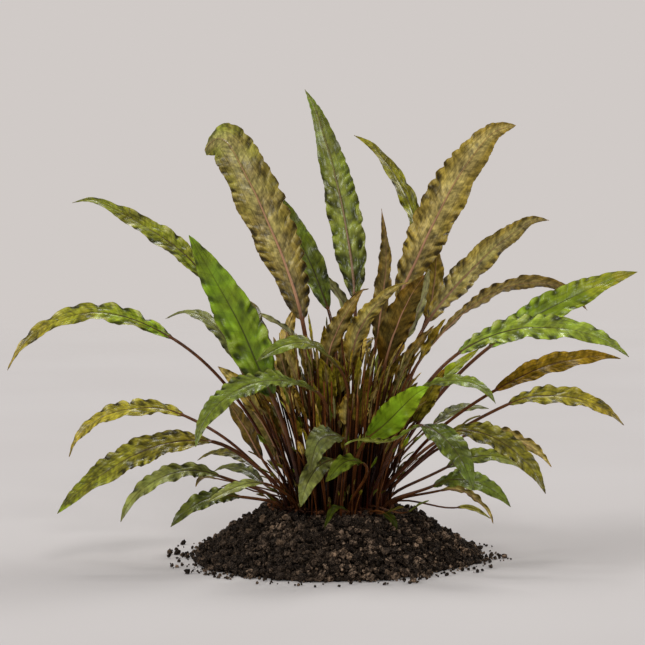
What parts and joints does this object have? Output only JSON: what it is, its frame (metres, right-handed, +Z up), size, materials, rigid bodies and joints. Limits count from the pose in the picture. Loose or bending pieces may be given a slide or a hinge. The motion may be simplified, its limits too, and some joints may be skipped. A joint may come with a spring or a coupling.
{
  "type": "aquarium cryptocoryne clump",
  "caption": "Clump of cryptocoryne water plant with long wavy leaves on thin stalks, growing from a low round mound of dark granular soil with a flat underside.",
  "frame": {"origin": "centre of the mound's flat underside, which rests on the floor of the tank or on a table", "axes": "+Z up, +X to the right and +Y away from the viewer in the side that the picture shows"},
  "size_m": [0.3826, 0.2353, 0.2823],
  "materials": {
    "soil": "matte dark brown-black granules of baked soil",
    "rootstock": "knotted, fibrous, red-brown",
    "young_shoots": "slightly shiny red-brown young stalks",
    "leaf_bright": "satin leaf, fresh yellow-green, puckered between the veins",
    "leaf_green": "satin leaf, mid green, puckered between the veins",
    "leaf_grey_green": "satin leaf, grey-green, puckered between the veins",
    "leaf_olive": "satin leaf, olive, puckered between the veins",
    "leaf_brown": "satin leaf, golden brown with a paler raised midrib on the underside"
  },
  "bodies": {
    "root": {"soil_mound": "soil", "rootstock": "rootstock", "young_shoots": "young_shoots", "leaf_left_1": "leaf_olive", "leaf_left_2": "leaf_bright", "leaf_left_3": "leaf_grey_green", "leaf_left_4": "leaf_olive", "leaf_left_5": "leaf_olive", "leaf_left_6": "leaf_olive", "leaf_left_7": "leaf_brown", "leaf_left_8": "leaf_brown", "leaf_left_9": "leaf_olive", "leaf_left_10": "leaf_grey_green", "leaf_left_11": "leaf_grey_green", "leaf_left_12": "leaf_green", "leaf_left_13": "leaf_grey_green", "leaf_upright_1": "leaf_brown", "leaf_upright_2": "leaf_green", "leaf_upright_3": "leaf_green", "leaf_upright_4": "leaf_olive", "leaf_upright_5": "leaf_brown", "leaf_upright_6": "leaf_brown", "leaf_upright_7": "leaf_olive", "leaf_upright_8": "leaf_olive", "leaf_upright_9": "leaf_brown", "leaf_upright_10": "leaf_grey_green", "leaf_heart_1": "leaf_brown", "leaf_heart_2": "leaf_olive", "leaf_heart_3": "leaf_brown", "leaf_heart_4": "leaf_brown", "leaf_heart_5": "leaf_grey_green", "leaf_heart_6": "leaf_grey_green", "leaf_front_1": "leaf_green", "leaf_front_2": "leaf_green", "leaf_front_3": "leaf_bright", "leaf_front_4": "leaf_green", "leaf_front_5": "leaf_green", "leaf_front_6": "leaf_grey_green", "leaf_front_7": "leaf_grey_green", "leaf_front_8": "leaf_green", "leaf_front_9": "leaf_green", "leaf_front_10": "leaf_green", "leaf_right_1": "leaf_brown", "leaf_right_2": "leaf_bright", "leaf_right_3": "leaf_green", "leaf_right_4": "leaf_brown", "leaf_right_5": "leaf_olive", "leaf_right_6": "leaf_bright", "leaf_right_7": "leaf_brown", "leaf_right_8": "leaf_grey_green", "leaf_right_9": "leaf_olive", "leaf_right_10": "leaf_brown", "leaf_right_11": "leaf_green", "leaf_right_12": "leaf_green", "leaf_right_13": "leaf_brown", "leaf_right_14": "leaf_olive", "leaf_back_1": "leaf_green", "leaf_back_2": "leaf_olive", "leaf_back_3": "leaf_brown", "leaf_back_4": "leaf_grey_green"}
  },
  "joints": []
}
